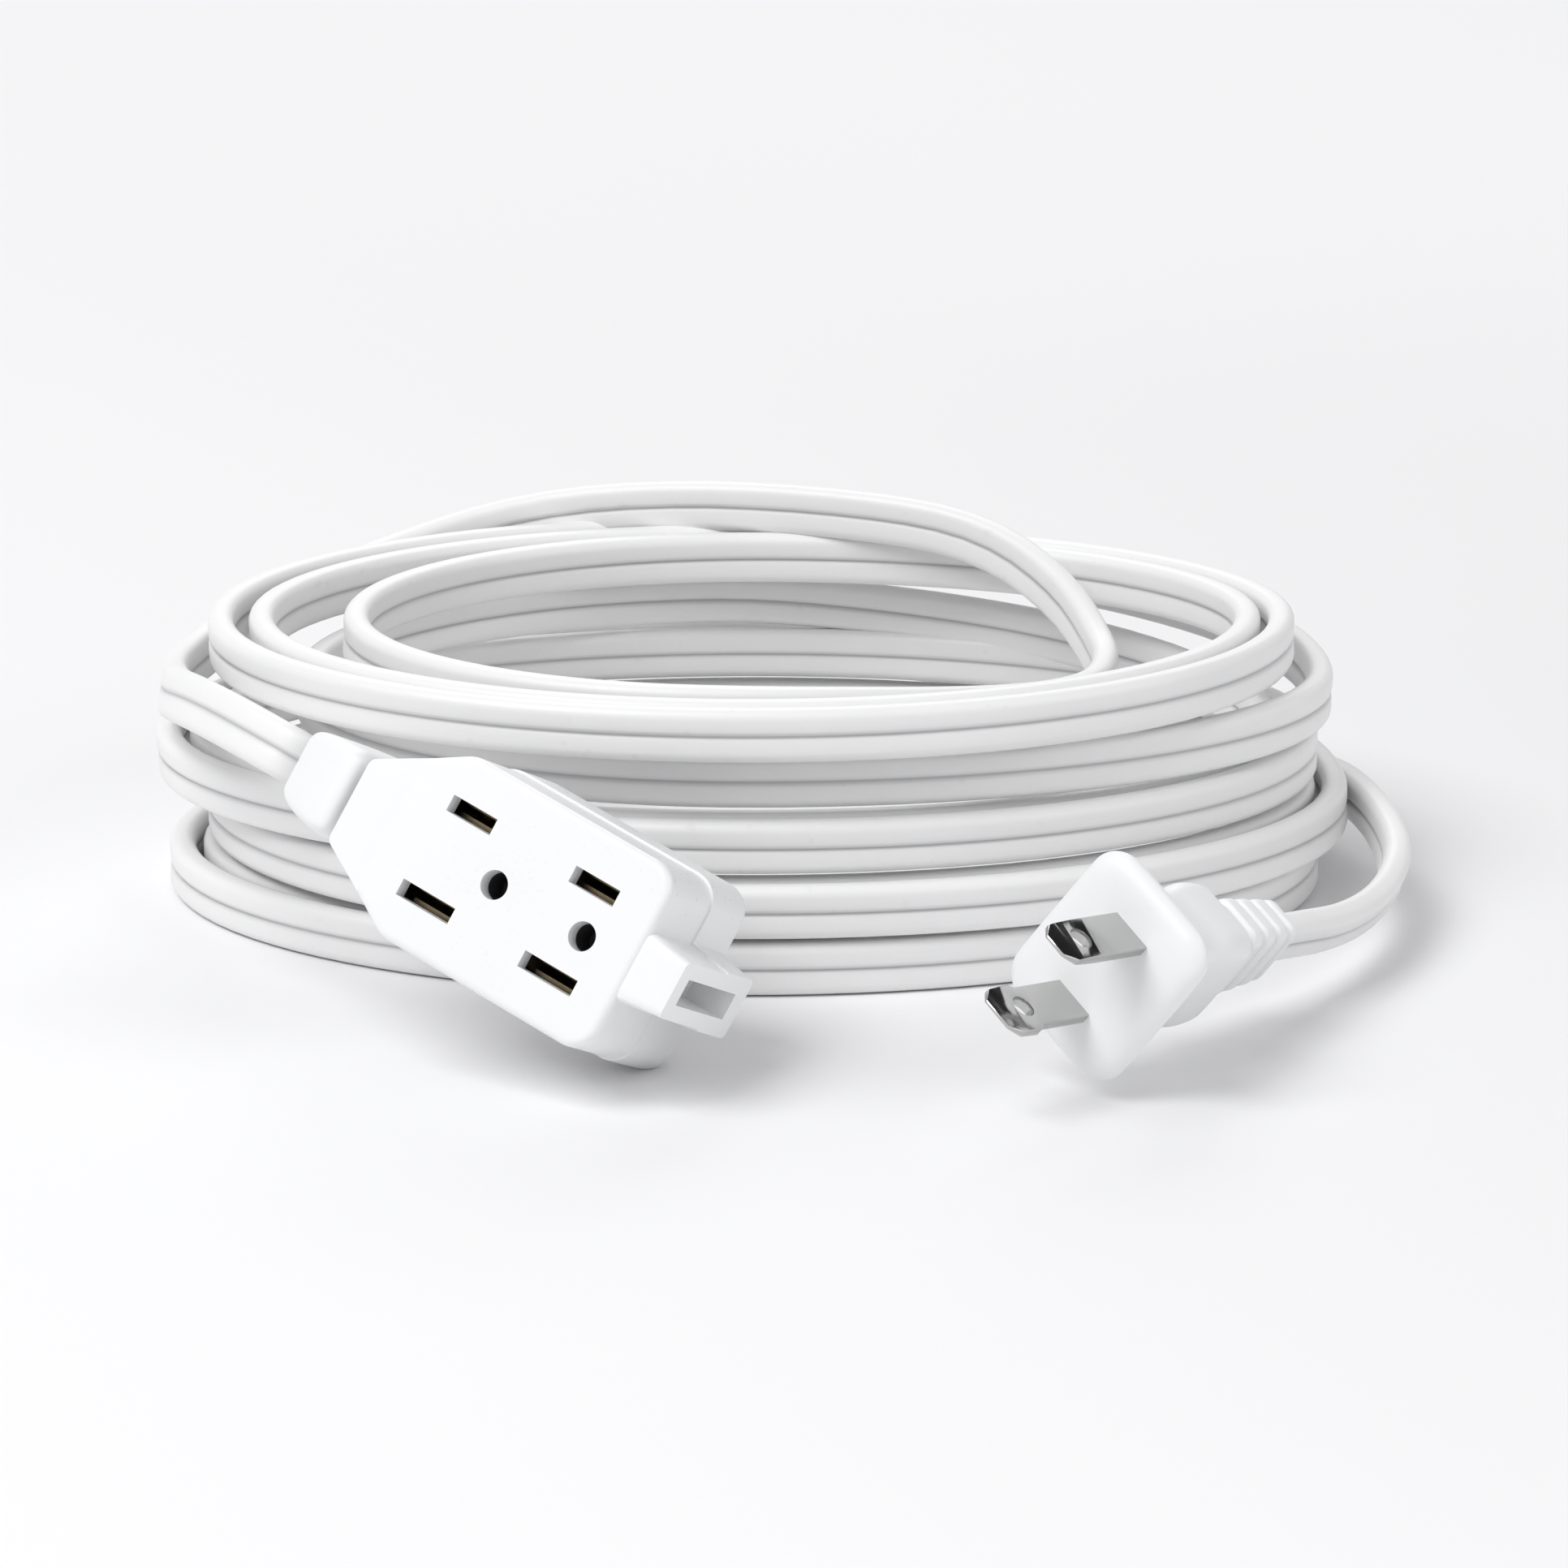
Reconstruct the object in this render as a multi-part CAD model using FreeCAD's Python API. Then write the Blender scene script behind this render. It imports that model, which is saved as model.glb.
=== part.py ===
# Indoor extension cord: flat twin cord wound in a coil, a two-blade plug and an outlet block.
# Units are millimetres and +Z is up. The floor is z = 0.
import FreeCAD, Part
import math
import os

V = FreeCAD.Vector
os.makedirs("parts", exist_ok=True)

# Flat twin cord
CORD_W = 7.1          # width across both cores
CORD_T = 3.45         # thickness
CORE_D = 2.6          # one insulated core where it runs inside a fitting
CORE_GAP = 1.85       # a core's distance from the cord's centre line

# Outlet block, along its length u, across it v, and out of its face n
BLOCK_HALF_W = 13.3
BLOCK_DEPTH = 27.0
BLOCK_END = 29.9
NECK_END = -17.0
NOSE_END = 36.5
WALL = 2.2
FACE_WALL = 2.5
PARTING = -13.4       # where the front and the back shell meet
REAR_GROW = 0.3       # the back shell stands this much proud of the front one
BLADE_PITCH = 12.7    # line to neutral
LINE_SLOT = 7.1
NEUTRAL_SLOT = 8.5
SLOT_W = 2.3
FRONT_OUTLETS = [0.0, 20.0]
REAR_OUTLET = 10.0
DIMPLES = [7.5, 21.8]
DIMPLE_D = 3.9
COLLAR_END = -31.0
MID_N = -BLOCK_DEPTH / 2

# Plug, across both blades q, along a blade's width r, and the way the blades point p
FLANGE_Q = 12.3
FLANGE_R = 8.8
BLADE_W = 6.35
BLADE_WIDE = 7.6
BLADE_T = 1.5
BLADE_L = 17.4
BLADE_HOLE_D = 3.3
BLADE_HOLE_P = 11.9
PLUG_END = -47.0
RIBS = 5
RIB_PITCH = 3.7

# Where the block and the plug lie
FACE_ORIGIN = V(-8.18, -6.9, 29.93)
U_AXIS = V(0.802, -0.493, -0.338)
V_AXIS = V(0.475, 0.181, 0.861)
N_AXIS = V(-0.363, -0.851, 0.379)
PLUG_ORIGIN = V(75.62, -15.5, 17.77)
Q_AXIS = V(-0.558, 0.262, -0.788)
R_AXIS = V(0.594, -0.5355, -0.600)
P_AXIS = V(-0.579, -0.802, 0.1435)
BLOCK = FreeCAD.Placement(FACE_ORIGIN, FreeCAD.Rotation(U_AXIS, V_AXIS, N_AXIS, "ZXY"))
PLUG = FreeCAD.Placement(PLUG_ORIGIN, FreeCAD.Rotation(Q_AXIS, R_AXIS, P_AXIS, "ZXY"))

# The coil: each turn's reach from the centre at the back, left, front and next right,
# and the level that it lies on
COIL_CENTRE = V(30.4, 90.1, 0)
LEVELS = [3.85, 12.0, 20.2, 28.4, 36.6]
COIL_START = 87.5
COIL_LAST_Z = 30.0
TURNS = [
    (60.0, 82.7, 59.6, 80.6, 0),
    (54.8, 77.9, 54.9, 75.2, 0),
    (49.8, 72.0, 55.8, 80.0, 1),
    (56.0, 77.0, 60.4, 84.7, 1),
    (60.7, 84.2, 57.0, 80.2, 2),
    (54.4, 79.4, 52.2, 75.4, 2),
    (46.0, 61.0, 52.8, 82.2, 3),
    (58.8, 76.4, 60.0, 76.5, 4),
    (52.6, 70.5, 55.3, 71.6, 4),
    (47.2, 57.0, 47.8, 51.0, 4),
]
GAP_STEPS = 8         # samples on each arc for the gap between the turns
COIL_TWIST = 10.5     # the profile starts turned by this, so that the climb's twist is shared

# The free stretches' corner points, from the coil to the outlet and from the plug to the coil
TO_OUTLET = [
    V(81.4, 90.1, 30.0), V(81.4, 100.1, 30.0), V(76.0, 113.7, 37.6), V(64.0, 126.1, 44.2),
    V(44.4, 135.1, 45.6), V(18.4, 144.1, 46.2), V(-5.6, 148.6, 44.2), V(-27.6, 141.1, 36.5),
    V(-44.6, 122.1, 32.0), V(-52.6, 96.1, 29.5), V(-50.6, 65.1, 34.0), V(-45.6, 42.1, 38.5),
    V(-37.3, 25.48, 39.1), V(-28.14, 19.86, 35.29),
]
TO_PLUG = [
    V(102.85, 22.21, 11.02), V(109.8, 31.83, 9.3), V(117.2, 46.0, 6.4), V(121.6, 62.0, 4.2),
    V(117.9, 77.6, 3.85), V(117.9, 90.1, 3.85),
]


def unit(v):
    w = V(v)
    w.normalize()
    return w


# Outlines

def rounded_polygon(corners, z):
    """A closed wire in the XY plane from (x, y, radius) corners."""
    count = len(corners)
    edges = []
    ends = []
    for i in range(count):
        x, y, radius = corners[i]
        here = V(x, y, z)
        before = V(corners[i - 1][0], corners[i - 1][1], z)
        after = V(corners[(i + 1) % count][0], corners[(i + 1) % count][1], z)
        back = unit(before - here)
        on = unit(after - here)
        half = back.getAngle(on) / 2
        cut = radius / math.tan(half)
        start = here + back * cut
        end = here + on * cut
        middle = here + unit(back + on) * (radius / math.sin(half) - radius)
        ends.append((start, middle, end))
    for i in range(count):
        start, middle, end = ends[i]
        edges.append(Part.Arc(start, middle, end).toShape())
        following = ends[(i + 1) % count][0]
        if end.distanceToPoint(following) > 1e-6:
            edges.append(Part.makeLine(end, following))
    return Part.Wire(edges)


def rounded_rectangle(half_x, half_y, radius, z):
    corners = [(half_x, half_y), (-half_x, half_y), (-half_x, -half_y), (half_x, -half_y)]
    return rounded_polygon([(x, y, radius) for x, y in corners], z)


def stack(sections):
    """A solid through (half x, half y, radius, z) sections, with straight sides between."""
    wires = [rounded_rectangle(*section) for section in sections]
    return Part.makeLoft(wires, True, True)


def box(x0, x1, y0, y1, z0, z1):
    return Part.makeBox(x1 - x0, y1 - y0, z1 - z0, V(x0, y0, z0))


# Outlet block

def block_outline(grow, z):
    half = [(NECK_END, 6.0, 1.5), (-9.0, 10.2, 3), (-3.6, BLOCK_HALF_W, 5)]
    half.append((BLOCK_END, BLOCK_HALF_W, 4.0))
    upper = []
    for x, y, radius in half:
        step = -grow if x == NECK_END else (grow if x == BLOCK_END else 0)
        upper.append((x + step, y + grow, radius))
    lower = [(x, -y, radius) for x, y, radius in reversed(upper)]
    return rounded_polygon(upper + lower, z)


def block_form(grow):
    """The block's outer form, with its nose, before it is split and hollowed."""
    form = Part.Face(block_outline(grow, -BLOCK_DEPTH)).extrude(V(0, 0, BLOCK_DEPTH))
    front = [e for e in form.Edges if e.BoundBox.ZMin > -0.01]
    rear = [e for e in form.Edges if e.BoundBox.ZMax < 0.01 - BLOCK_DEPTH]
    form = form.makeFillet(1.0, front)
    rear = [e for e in form.Edges if e.BoundBox.ZMax < 0.01 - BLOCK_DEPTH]
    form = form.makeFillet(3.0, rear)
    root = rounded_rectangle(BLOCK_DEPTH / 2 - 0.5, 5.6 + grow, 1.0, 26.0)
    tip = rounded_rectangle(11.2, 4.0 + grow, 1.0, NOSE_END)
    root.translate(V(BLOCK_DEPTH / 2 + 0.1, 0, 0))
    tip.translate(V(11.2, 0, 0))
    nose = Part.makeLoft([root, tip], True, True)
    turn = FreeCAD.Placement(V(0, 0, 0), FreeCAD.Rotation(V(0, 0, -1), V(0, 1, 0), V(1, 0, 0), "ZXY"))
    nose.Placement = turn
    return form.fuse(nose.common(box(26, 60, -20, 20, -BLOCK_DEPTH, -0.05))).removeSplitter()


def cavity():
    corners = [(-14.8, 4.6, 0.5), (-8.2, 8.2, 0.5), (-3.0, 11.1, 0.5), (27.7, 11.1, 2)]
    outline = corners + [(x, -y, radius) for x, y, radius in reversed(corners)]
    depth = BLOCK_DEPTH - 2 * FACE_WALL
    return Part.Face(rounded_polygon(outline, FACE_WALL - BLOCK_DEPTH)).extrude(V(0, 0, depth))


def slot_pair(u, z0, z1):
    line = box(u - LINE_SLOT / 2, u + LINE_SLOT / 2, 0, SLOT_W, z0, z1)
    line.translate(V(0, BLADE_PITCH / 2 - SLOT_W / 2, 0))
    neutral = box(u - NEUTRAL_SLOT / 2, u + NEUTRAL_SLOT / 2, 0, SLOT_W, z0, z1)
    neutral.translate(V(0, -BLADE_PITCH / 2 - SLOT_W / 2, 0))
    return [line, neutral]


def tongue_hole():
    return box(-20, -14, -3.2, 3.2, MID_N - 3.2, MID_N + 3.2)


def front_shell():
    form = block_form(0).common(box(-30, 60, -20, 20, PARTING, 1))
    cuts = [cavity(), tongue_hole()]
    for u in FRONT_OUTLETS:
        cuts += slot_pair(u, -FACE_WALL - 1, 1)
    for u in DIMPLES:
        cuts.append(Part.makeCylinder(DIMPLE_D / 2, 10, V(u, 0, -8), V(0, 0, 1)))
    cuts.append(box(-25, -9.5, -20, 20, -0.9, 2))
    cuts.append(box(30.4, 40, -1.85, 1.85, -19, -3))
    return form.cut(cuts)


def back_shell():
    form = block_form(REAR_GROW).common(box(-30, 60, -20, 20, -BLOCK_DEPTH - 1, PARTING))
    cuts = [cavity(), tongue_hole(), box(30.4, 40, -1.85, 1.85, -19, -3)]
    cuts += slot_pair(REAR_OUTLET, -BLOCK_DEPTH - 1, FACE_WALL + 1 - BLOCK_DEPTH)
    return form.cut(cuts)


def contact_carrier():
    low = FACE_WALL - BLOCK_DEPTH
    block = box(-0.6, 27.7, -11.1, 11.1, low, -FACE_WALL)
    cuts = []
    for side in (-1, 1):
        v = side * BLADE_PITCH / 2
        cuts.append(box(0.4 - 5.4, 26, v - 1.9, v + 1.9, low - 1, 0))
        cuts.append(box(-5, 26, v - 2.4, v + 2.4, MID_N - 0.4, MID_N + 0.4))
    for u in DIMPLES:
        cuts.append(Part.makeCylinder(DIMPLE_D / 2, 10, V(u, 0, -7), V(0, 0, 1)))
    body = block.cut(cuts)
    return body.common(cavity())


def contact_strip(side):
    v = side * BLADE_PITCH / 2
    strip = box(-4, 26, v - 2.4, v + 2.4, MID_N - 0.4, MID_N + 0.4)
    tail = box(-7, -3.9, v - 1.6, v + 1.6, MID_N - 0.4, MID_N + 0.4)
    parts = [tail]
    for u in FRONT_OUTLETS + [REAR_OUTLET]:
        out = 1 if u in FRONT_OUTLETS else -1
        for leaf in (-1, 1):
            inner = v + leaf * 0.6
            outer = v + leaf * 1.3
            base = MID_N + out * 0.3
            tip = MID_N + out * 9.4
            low, high = min(inner, outer), max(inner, outer)
            near, far = min(base, tip), max(base, tip)
            start = max(u - 3.5, -3.5)
            parts.append(box(start, u + 3.5, low, high, near, far))
    barrel = Part.makeCylinder(1.9, 4.6, V(-8.6, v, MID_N), V(1, 0, 0))
    parts.append(barrel)
    strip = strip.fuse(parts).removeSplitter()
    bore = Part.makeCylinder(CORE_D / 2, 3.6, V(-9.6, v, MID_N), V(1, 0, 0))
    return strip.cut(bore)


def outlet_wire(side):
    return core_tube([
        V(COLLAR_END, side * CORE_GAP, MID_N), V(-13.2, side * CORE_GAP, MID_N),
        V(-9.6, side * BLADE_PITCH / 2, MID_N), V(-6.0, side * BLADE_PITCH / 2, MID_N),
    ])


def core_tube(corners):
    """A round core along straight runs, each carried a little past its bend into the next."""
    pieces = []
    for i, (a, b) in enumerate(zip(corners[:-1], corners[1:])):
        past = 0 if i == len(corners) - 2 else 0.5
        pieces.append(Part.makeCylinder(CORE_D / 2, (b - a).Length + past, a, b - a))
    return pieces[0].fuse(pieces[1:]).removeSplitter()


def strain_collar():
    bell = stack([(6.0, 11.4, 1.6, -18.3), (6.3, 11.8, 1.8, -20.2)])
    body = stack([(6.3, 11.8, 1.8, -20.2), (5.4, 6.6, 1.8, -25.4), (4.5, 2.9, 1.4, COLLAR_END)])
    tongue = box(-3.2, 3.2, -3.2, 3.2, -19, -14.8)
    flange = box(-4.0, 4.0, -4.6, 4.6, -14.8, -13.6)
    collar = bell.fuse([body, tongue, flange]).removeSplitter()
    turn = FreeCAD.Rotation(V(0, 1, 0), V(0, 0, 1), V(1, 0, 0), "ZXY")
    collar.Placement = FreeCAD.Placement(V(0, 0, MID_N), turn)
    for side in (-1, 1):
        collar = collar.cut(Part.makeCylinder(CORE_D / 2, 30, V(-40, side * CORE_GAP, MID_N), V(1, 0, 0)))
    return collar


# Plug

def blade(side):
    """A blade along +Z with its inner end in the plug; side 1 is the wide neutral blade."""
    half = BLADE_W / 2
    tip = BLADE_WIDE / 2 if side > 0 else half
    right = [(2.0, -14.0), (2.0, -10.0), (half, -10.0), (half, 11.2), (tip, 11.9), (tip, 15.6), (tip - 1.5, BLADE_L)]
    left = [(-r, p) for r, p in reversed(right)]
    points = [V(0, r, p) for r, p in right + left]
    plate = Part.Face(Part.makePolygon(points + points[:1])).extrude(V(BLADE_T, 0, 0))
    plate.translate(V(-BLADE_T / 2, 0, 0))
    t = BLADE_T / 2
    edge = [(-t, -20), (t, -20), (t, 16.3), (0.4, 20), (-0.4, 20), (-t, 16.3)]
    edge = [V(q, 0, p) for q, p in edge]
    bevel = Part.Face(Part.makePolygon(edge + edge[:1])).extrude(V(0, 20, 0))
    bevel.translate(V(0, -10, 0))
    plate = plate.common(bevel)
    plate = plate.cut(Part.makeCylinder(BLADE_HOLE_D / 2, 6, V(-3, 0, BLADE_HOLE_P), V(1, 0, 0)))
    plate.translate(V(side * BLADE_PITCH / 2, 0, 0))
    return plate


def plug_wire(side):
    return core_tube([
        V(side * CORE_GAP, 0, PLUG_END), V(side * CORE_GAP, 0, -26),
        V(side * BLADE_PITCH / 2, 0, -17.5), V(side * BLADE_PITCH / 2, 0, -14),
    ])


def blade_bridge():
    bridge = box(-9.6, 9.6, -4.4, 4.4, -10, -2.5)
    return bridge.cut([blade(-1), blade(1)])


def plug_body():
    flange = Part.Face(rounded_rectangle(FLANGE_Q, FLANGE_R, 5.0, -4.2)).extrude(V(0, 0, 4.2))
    rims = [e for e in flange.Edges if abs(e.BoundBox.ZLength) < 0.01]
    flange = flange.makeChamfer(0.8, rims)
    grip = stack([(10.2, 6.9, 3.0, -3.8), (9.7, 6.3, 3.0, -11.4), (14.4, 7.5, 3.0, -16.0),
                  (14.2, 7.4, 3.0, -22.4), (8.4, 5.2, 3.0, -28.0)])
    tail = stack([(7.4, 4.6, 2.0, -27.4), (5.0, 2.9, 1.6, PLUG_END)])
    ribs = []
    for i in range(RIBS):
        z = -32.0 - RIB_PITCH * i
        share = (-27.4 - z) / (-27.4 - PLUG_END)
        rib = rounded_rectangle(8.3 - 2.4 * share, 5.5 - 1.7 * share, 1.8, z)
        ribs.append(Part.Face(rib).extrude(V(0, 0, 2.2)))
    body = grip.fuse([flange, tail] + ribs).removeSplitter()
    bridge = box(-9.6, 9.6, -4.4, 4.4, -10, -2.5)
    return body.cut([bridge, blade(-1), blade(1), plug_wire(-1), plug_wire(1)])


# Cord

def profile(centre, along, wide):
    """The cord's flat section, square to the way that it runs."""
    along = unit(along)
    wide = unit(wide - along * wide.dot(along))
    thick = along.cross(wide)
    points = [centre + thick * x + wide * y for x, y in section_corners()]
    return Part.makePolygon(points + points[:1])


def section_area():
    return CORD_T * CORD_W


def arc_from(start, along, end):
    """The arc that leaves start along a given way and reaches end; also the way it arrives and its radius."""
    chord = end - start
    side = chord - along * chord.dot(along)
    height = side.Length
    radius = chord.Length ** 2 / (2 * height)
    side.normalize()
    half = math.atan2(height, chord.dot(along))
    middle = start + along * (radius * math.sin(half)) + side * (radius * (1 - math.cos(half)))
    arrive = along * math.cos(2 * half) + side * math.sin(2 * half)
    return Part.Arc(start, middle, end), arrive, radius


def biarc(p0, t0, p1, t1):
    """Two arcs from p0 along t0 to p1 along t1."""
    gap = p1 - p0
    both = t0 + t1
    c = 2 * (1 - t0.dot(t1))
    reach = (math.sqrt(gap.dot(both) ** 2 + c * gap.dot(gap)) - gap.dot(both)) / c
    meet = (p0 + t0 * reach + p1 - t1 * reach) * 0.5
    first, way, r0 = arc_from(p0, t0, meet)
    second, way, r1 = arc_from(meet, way, p1)
    return [first, second], min(r0, r1)


def coil_stations():
    """Points a quarter turn apart, each with the way the cord runs there."""
    stations = [(V(COIL_START, 0, LEVELS[0]), V(0, 1, 0))]
    for i, (back, left, front, right, level) in enumerate(TURNS):
        z = LEVELS[level]
        stations.append((V(0, back, z), V(-1, 0, 0)))
        stations.append((V(-left, 0, z), V(0, -1, 0)))
        stations.append((V(0, -front, z), V(1, 0, 0)))
        if i == len(TURNS) - 1:
            z = COIL_LAST_Z
        stations.append((V(right, 0, z), V(0, 1, 0)))
    return [(p + COIL_CENTRE, t) for p, t in stations]


def coil_arcs():
    stations = coil_stations()
    arcs = []
    radii = []
    for (p0, t0), (p1, t1) in zip(stations[:-1], stations[1:]):
        pair, radius = biarc(p0, t0, p1, t1)
        arcs += pair
        radii.append(radius)
    return arcs, min(radii)


def stretch_path(corners):
    """Straight runs joined by tangent arcs, each arc as wide as the shorter run beside it allows."""
    edges = []
    radii = []
    here = corners[0]
    for before, corner, after in zip(corners[:-2], corners[1:-1], corners[2:]):
        back = unit(before - corner)
        on = unit(after - corner)
        half = back.getAngle(on) / 2
        cut = 0.45 * min((before - corner).Length, (after - corner).Length)
        radius = cut * math.tan(half)
        start = corner + back * cut
        end = corner + on * cut
        middle = corner + unit(back + on) * (radius / math.sin(half) - radius)
        edges.append(Part.makeLine(here, start))
        edges.append(Part.Arc(start, middle, end).toShape())
        radii.append(radius)
        here = end
    edges.append(Part.makeLine(here, corners[-1]))
    return Part.Wire(edges), radii


def carried_frames(arcs, wide):
    """Points along the arcs with the way, the thickness and the width of the section carried along."""
    frames = []
    for arc in arcs:
        first, last = arc.FirstParameter, arc.LastParameter
        for k in range(GAP_STEPS):
            t = first + (last - first) * k / GAP_STEPS
            point = arc.value(t)
            way = unit(V(*arc.tangent(t)[0]))
            if frames:
                old_point, old_way = frames[-1][0], frames[-1][1]
                step = point - old_point
                mirrored = wide - step * (2 * step.dot(wide) / step.dot(step))
                turned = old_way - step * (2 * step.dot(old_way) / step.dot(step))
                fix = way - turned
                if fix.Length > 1e-9:
                    mirrored = mirrored - fix * (2 * fix.dot(mirrored) / fix.dot(fix))
                wide = mirrored
            wide = unit(wide - way * way.dot(wide))
            frames.append((point, way, way.cross(wide), wide))
    return frames


def section_corners():
    t = CORD_T / 2
    w = CORD_W / 2
    return [(t, w), (-t, w), (-t, -w), (t, -w)]


def corner_to_edge(corner, a, b):
    dx, dy = b[0] - a[0], b[1] - a[1]
    share = ((corner[0] - a[0]) * dx + (corner[1] - a[1]) * dy) / (dx * dx + dy * dy)
    share = max(0.0, min(1.0, share))
    return math.hypot(corner[0] - a[0] - share * dx, corner[1] - a[1] - share * dy)


def inside(corner, shape):
    signs = []
    for a, b in zip(shape, shape[1:] + shape[:1]):
        signs.append((b[0] - a[0]) * (corner[1] - a[1]) - (b[1] - a[1]) * (corner[0] - a[0]))
    return min(signs) > 0 or max(signs) < 0


def outline_gap(one, other):
    """How far apart two outlines in one plane are; negative where they overlap."""
    least = 1e9
    for first, second in ((one, other), (other, one)):
        for corner in first:
            near = min(corner_to_edge(corner, a, b) for a, b in zip(second, second[1:] + second[:1]))
            if inside(corner, second):
                near = -near
            least = min(least, near)
    return least


def least_gap(frames):
    """The least gap between the turns, measured in planes square to the cord."""
    least = (1e9, 0, 0)
    shape = section_corners()
    far = 40 * GAP_STEPS // 20
    for i, (point, way, thick, wide) in enumerate(frames):
        for j in range(i + far, len(frames) - 1):
            a, b = frames[j], frames[j + 1]
            if (a[0] - point).Length > 16:
                continue
            da, db = way.dot(a[0] - point), way.dot(b[0] - point)
            if da * db > 0 or da == db:
                continue
            share = da / (da - db)
            centre = a[0] + (b[0] - a[0]) * share - point
            other = []
            for x, y in shape:
                corner = centre + a[2] * x + a[3] * y
                other.append((corner.dot(thick), corner.dot(wide)))
            gap = outline_gap(shape, other)
            if gap < least[0]:
                least = (gap, i, j)
    return least


def report_tube(name, solid, length):
    ratio = solid.Volume / (section_area() * length)
    print(name, "length", round(length, 1), "volume / section x length", round(ratio, 4))


def free_stretch(name, corners, wide):
    path, radii = stretch_path(corners)
    print(name, "radii", [round(r, 1) for r in radii])
    start = profile(corners[0], corners[1] - corners[0], wide)
    solid = path.makePipeShell([start], True, False)
    report_tube(name, solid, path.Length)
    return solid


def coil():
    arcs, least = coil_arcs()
    path = Part.Wire([arc.toShape() for arc in arcs])
    lean = math.radians(COIL_TWIST)
    wide = V(math.sin(lean), 0, math.cos(lean))
    first = coil_stations()[0]
    solid = path.makePipeShell([profile(first[0], first[1], wide)], True, False)
    print("cord_coil turns", len(TURNS), "least arc radius", round(least, 1))
    report_tube("cord_coil", solid, path.Length)
    frames = carried_frames(arcs, wide)
    gap, i, j = least_gap(frames)
    per_turn = 8 * GAP_STEPS
    print("cord_coil least gap", round(gap, 2), "between turns", i // per_turn, "and", j // per_turn,
          "at", round(360 * (i % per_turn) / per_turn), "degrees; end section", frames[-1][3])
    return solid


def save(name, solid, placement=None):
    shape = solid.copy()
    if placement is not None:
        shape.Placement = placement.multiply(shape.Placement)
    if shape.ShapeType == "Compound" and len(shape.Solids) == 1:
        shape = shape.Solids[0]
    shape.exportStep("parts/" + name + ".step")
    box_ = shape.BoundBox
    print(name, shape.ShapeType, "solids", len(shape.Solids), "volume", round(shape.Volume, 1),
          "x", round(box_.XMin, 2), round(box_.XMax, 2), "y", round(box_.YMin, 2), round(box_.YMax, 2),
          "z", round(box_.ZMin, 2), round(box_.ZMax, 2), "valid", shape.isValid())
    return shape


def main():
    block = [
        save("outlet_front_shell", front_shell(), BLOCK),
        save("outlet_back_shell", back_shell(), BLOCK),
        save("outlet_strain_collar", strain_collar(), BLOCK),
        save("contact_carrier", contact_carrier(), BLOCK),
        save("line_contact_strip", contact_strip(1), BLOCK),
        save("neutral_contact_strip", contact_strip(-1), BLOCK),
        save("outlet_line_wire", outlet_wire(1), BLOCK),
        save("outlet_neutral_wire", outlet_wire(-1), BLOCK),
    ]
    whole = Part.makeCompound(block).BoundBox
    print("block centre", round(whole.Center.x, 3), round(whole.Center.y, 3), "lowest", round(whole.ZMin, 3))
    print("collar end", BLOCK.multVec(V(COLLAR_END, 0, MID_N)))
    plug = [
        save("plug_body", plug_body(), PLUG),
        save("plug_blade_bridge", blade_bridge(), PLUG),
        save("line_blade", blade(-1), PLUG),
        save("neutral_blade", blade(1), PLUG),
        save("plug_line_wire", plug_wire(-1), PLUG),
        save("plug_neutral_wire", plug_wire(1), PLUG),
    ]
    print("plug lowest", round(Part.makeCompound(plug).BoundBox.ZMin, 3), "end", PLUG.multVec(V(0, 0, PLUG_END)))
    save("cord_to_outlet", free_stretch("cord_to_outlet", list(reversed(TO_OUTLET)), V_AXIS))
    save("cord_to_plug", free_stretch("cord_to_plug", TO_PLUG, Q_AXIS))
    save("cord_coil", coil())


main()
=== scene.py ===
# %% [markdown]
# An indoor extension cord: a white flat twin cord wound in a coil, a two-blade plug and an outlet block.
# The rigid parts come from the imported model, which is loaded first and never moved. Everything that is made
# here is in metres in the same frame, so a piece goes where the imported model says.

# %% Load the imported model
import math
import bpy
from mathutils import Matrix, Vector


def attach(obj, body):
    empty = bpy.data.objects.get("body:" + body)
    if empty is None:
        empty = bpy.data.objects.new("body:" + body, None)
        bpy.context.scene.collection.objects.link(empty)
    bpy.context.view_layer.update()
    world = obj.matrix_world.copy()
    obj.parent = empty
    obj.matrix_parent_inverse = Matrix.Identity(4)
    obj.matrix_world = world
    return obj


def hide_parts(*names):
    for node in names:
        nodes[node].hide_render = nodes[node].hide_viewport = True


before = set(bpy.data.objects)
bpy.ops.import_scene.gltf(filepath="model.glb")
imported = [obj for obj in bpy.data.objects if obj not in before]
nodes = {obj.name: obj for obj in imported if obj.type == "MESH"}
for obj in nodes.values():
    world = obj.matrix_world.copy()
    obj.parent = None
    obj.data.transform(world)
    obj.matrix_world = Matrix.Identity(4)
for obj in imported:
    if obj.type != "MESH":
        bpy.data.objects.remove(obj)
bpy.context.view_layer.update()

# %% [markdown]
# The photograph looks slightly down on the coil, from in front and from far away, so the lens is long.
# The view is straight along +Y, tilted down by 15 degrees. A long lens keeps the ellipses of the turns nearly
# alike from front to back, which is what makes the coil look calm.

# %% Camera
CAMERA_PLACE = (0.03512, -0.8140, 0.2561)
CAMERA_DOWN = math.radians(15)
LENS_MM = 149.07
SENSOR_MM = 36
NEAREST_SEEN = 0.01

camera = bpy.data.objects.new("camera", bpy.data.cameras.new("camera"))
bpy.context.collection.objects.link(camera)
camera.location = CAMERA_PLACE
camera.rotation_euler = (math.radians(90) - CAMERA_DOWN, 0, 0)
camera.data.lens = LENS_MM
camera.data.sensor_width = SENSOR_MM
camera.data.clip_start = NEAREST_SEEN
bpy.context.scene.camera = camera
print("camera lens", LENS_MM)

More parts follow.
